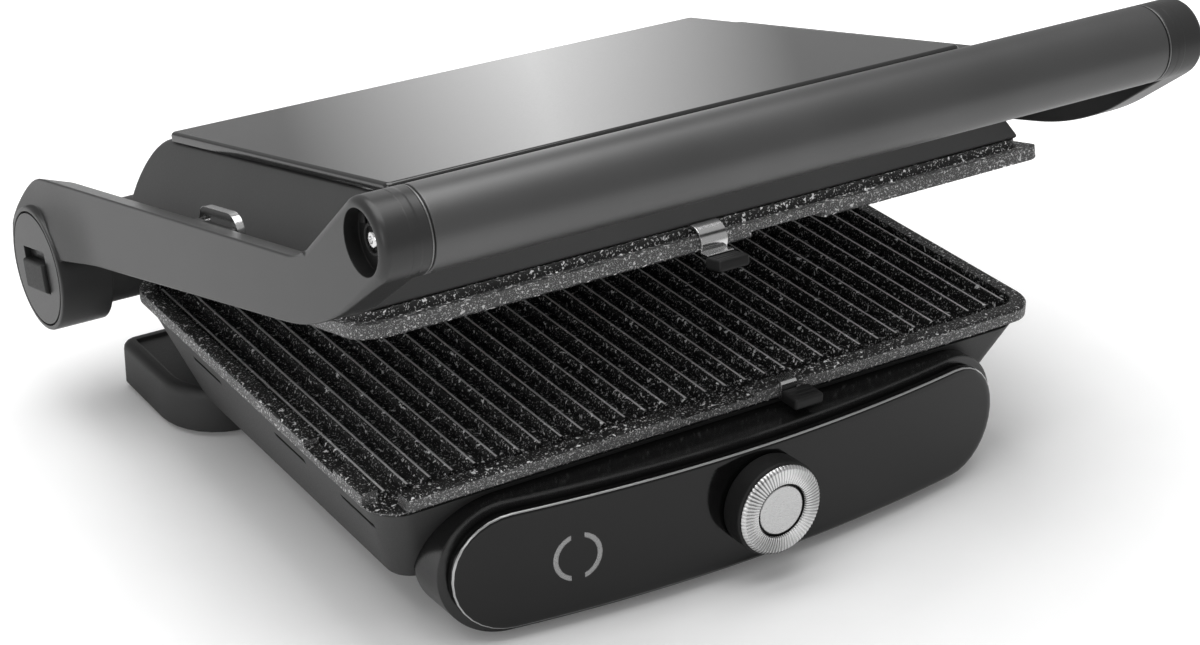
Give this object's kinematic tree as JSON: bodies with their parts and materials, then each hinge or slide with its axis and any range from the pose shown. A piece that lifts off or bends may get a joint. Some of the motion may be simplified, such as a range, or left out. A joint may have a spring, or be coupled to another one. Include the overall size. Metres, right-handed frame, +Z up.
{
  "type": "contact grill",
  "caption": "Electric contact grill with ribbed plates, a glass-topped floating lid hung between two arms, a tubular cross handle and a front control panel with a turning knob.",
  "frame": {"origin": "on the floor, below the middle of the object's box at rest", "axes": "+X to the user's right along the hinge, +Y to the rear, +Z up"},
  "size_m": [0.406, 0.3488, 0.2274],
  "materials": {
    "housing_plastic": "fine matte texture, dark grey",
    "arm_plastic": "satin, dark grey",
    "panel_gloss": "high gloss, near black",
    "black_plastic": "smooth matte black",
    "plate_coating": "speckled non-stick coating on cast aluminium",
    "handle_aluminium": "dark anodised, satin",
    "lid_glass": "smoked glass, polished",
    "bright_steel": "polished steel",
    "knob_metal": "brushed and knurled",
    "steel": "plain steel",
    "reflector_sheet": "bare sheet",
    "inner_plastic": "moulded, plain",
    "lamp_lens": "clear lens, unlit",
    "foot_rubber": "matte"
  },
  "bodies": {
    "base": {"base_tub": "housing_plastic", "front_posts": "housing_plastic", "bottom_cover": "housing_plastic", "bottom_screws": "steel", "rear_leg_left": "housing_plastic", "rear_leg_right": "housing_plastic", "rubber_feet": "foot_rubber", "control_housing": "housing_plastic", "control_panel": "panel_gloss", "lamp_ring": "lamp_lens", "lamp_board": "inner_plastic", "lower_plate": "plate_coating", "lower_heater": "steel", "lower_reflector": "reflector_sheet", "lower_thermal_fuse": "steel", "thermostat": "inner_plastic", "terminal_block": "inner_plastic", "cord_gland": "black_plastic", "hinge_pin_left": "steel", "hinge_pin_right": "steel"},
    "arms": {"left_arm": "arm_plastic", "right_arm": "arm_plastic", "handle_tube": "handle_aluminium", "tie_rod": "steel", "handle_screws": "bright_steel", "left_pivot_cover": "arm_plastic", "right_pivot_cover": "arm_plastic", "hinge_bush_left": "black_plastic", "hinge_bush_right": "black_plastic", "float_loop_left": "bright_steel", "float_loop_right": "bright_steel"},
    "release_lever": {"release_lever": "black_plastic"},
    "float_carriage": {"float_slider_left": "black_plastic", "float_slider_right": "black_plastic"},
    "lid": {"lid_housing": "housing_plastic", "lid_glass": "lid_glass", "upper_plate": "plate_coating", "upper_heater": "steel", "upper_reflector": "reflector_sheet", "upper_thermal_fuse": "steel", "lid_pin_left": "bright_steel", "lid_pin_right": "bright_steel"},
    "lower_latch": {"lower_latch_clip": "bright_steel", "lower_latch_tab": "black_plastic"},
    "upper_latch": {"upper_latch_clip": "bright_steel", "upper_latch_tab": "black_plastic"},
    "knob": {"knob_body": "black_plastic", "knob_ring": "knob_metal", "knob_cap": "knob_metal", "thermostat_shaft": "steel"}
  },
  "joints": [
    {"name": "lid_hinge", "type": "hinge", "parent": "base", "child": "arms", "pos_m": [0, 0.14506, 0.074], "axis": [-1, 0, 0], "range_deg": [-14.8, 164.8]},
    {"name": "float_lift", "type": "slide", "parent": "arms", "child": "float_carriage", "axis": [0, 0.2554, 0.9668], "range_m": [0, 0.015]},
    {"name": "float_tilt", "type": "hinge", "parent": "float_carriage", "child": "lid", "pos_m": [0, -0.00064, 0.12935], "axis": [1, 0, 0], "range_deg": [0, 7]},
    {"name": "release_slide", "type": "slide", "parent": "arms", "child": "release_lever", "axis": [0, 0.2554, 0.9668], "range_m": [0, 0.005], "stiffness_N_per_m": 400},
    {"name": "lower_latch_pull", "type": "slide", "parent": "base", "child": "lower_latch", "axis": [0, -1, 0], "range_m": [0, 0.003], "stiffness_N_per_m": 800},
    {"name": "upper_latch_pull", "type": "slide", "parent": "lid", "child": "upper_latch", "axis": [0, -0.9668, 0.2554], "range_m": [0, 0.003], "stiffness_N_per_m": 800},
    {"name": "knob_turn", "type": "hinge", "parent": "base", "child": "knob", "pos_m": [0.002, -0.13984, 0.0355], "axis": [0, 0.9986, -0.0523], "range_deg": [0, 270]}
  ],
  "couplings": [
    {"joint": "float_tilt", "follows": "float_lift", "rad_per_m": 8}
  ]
}
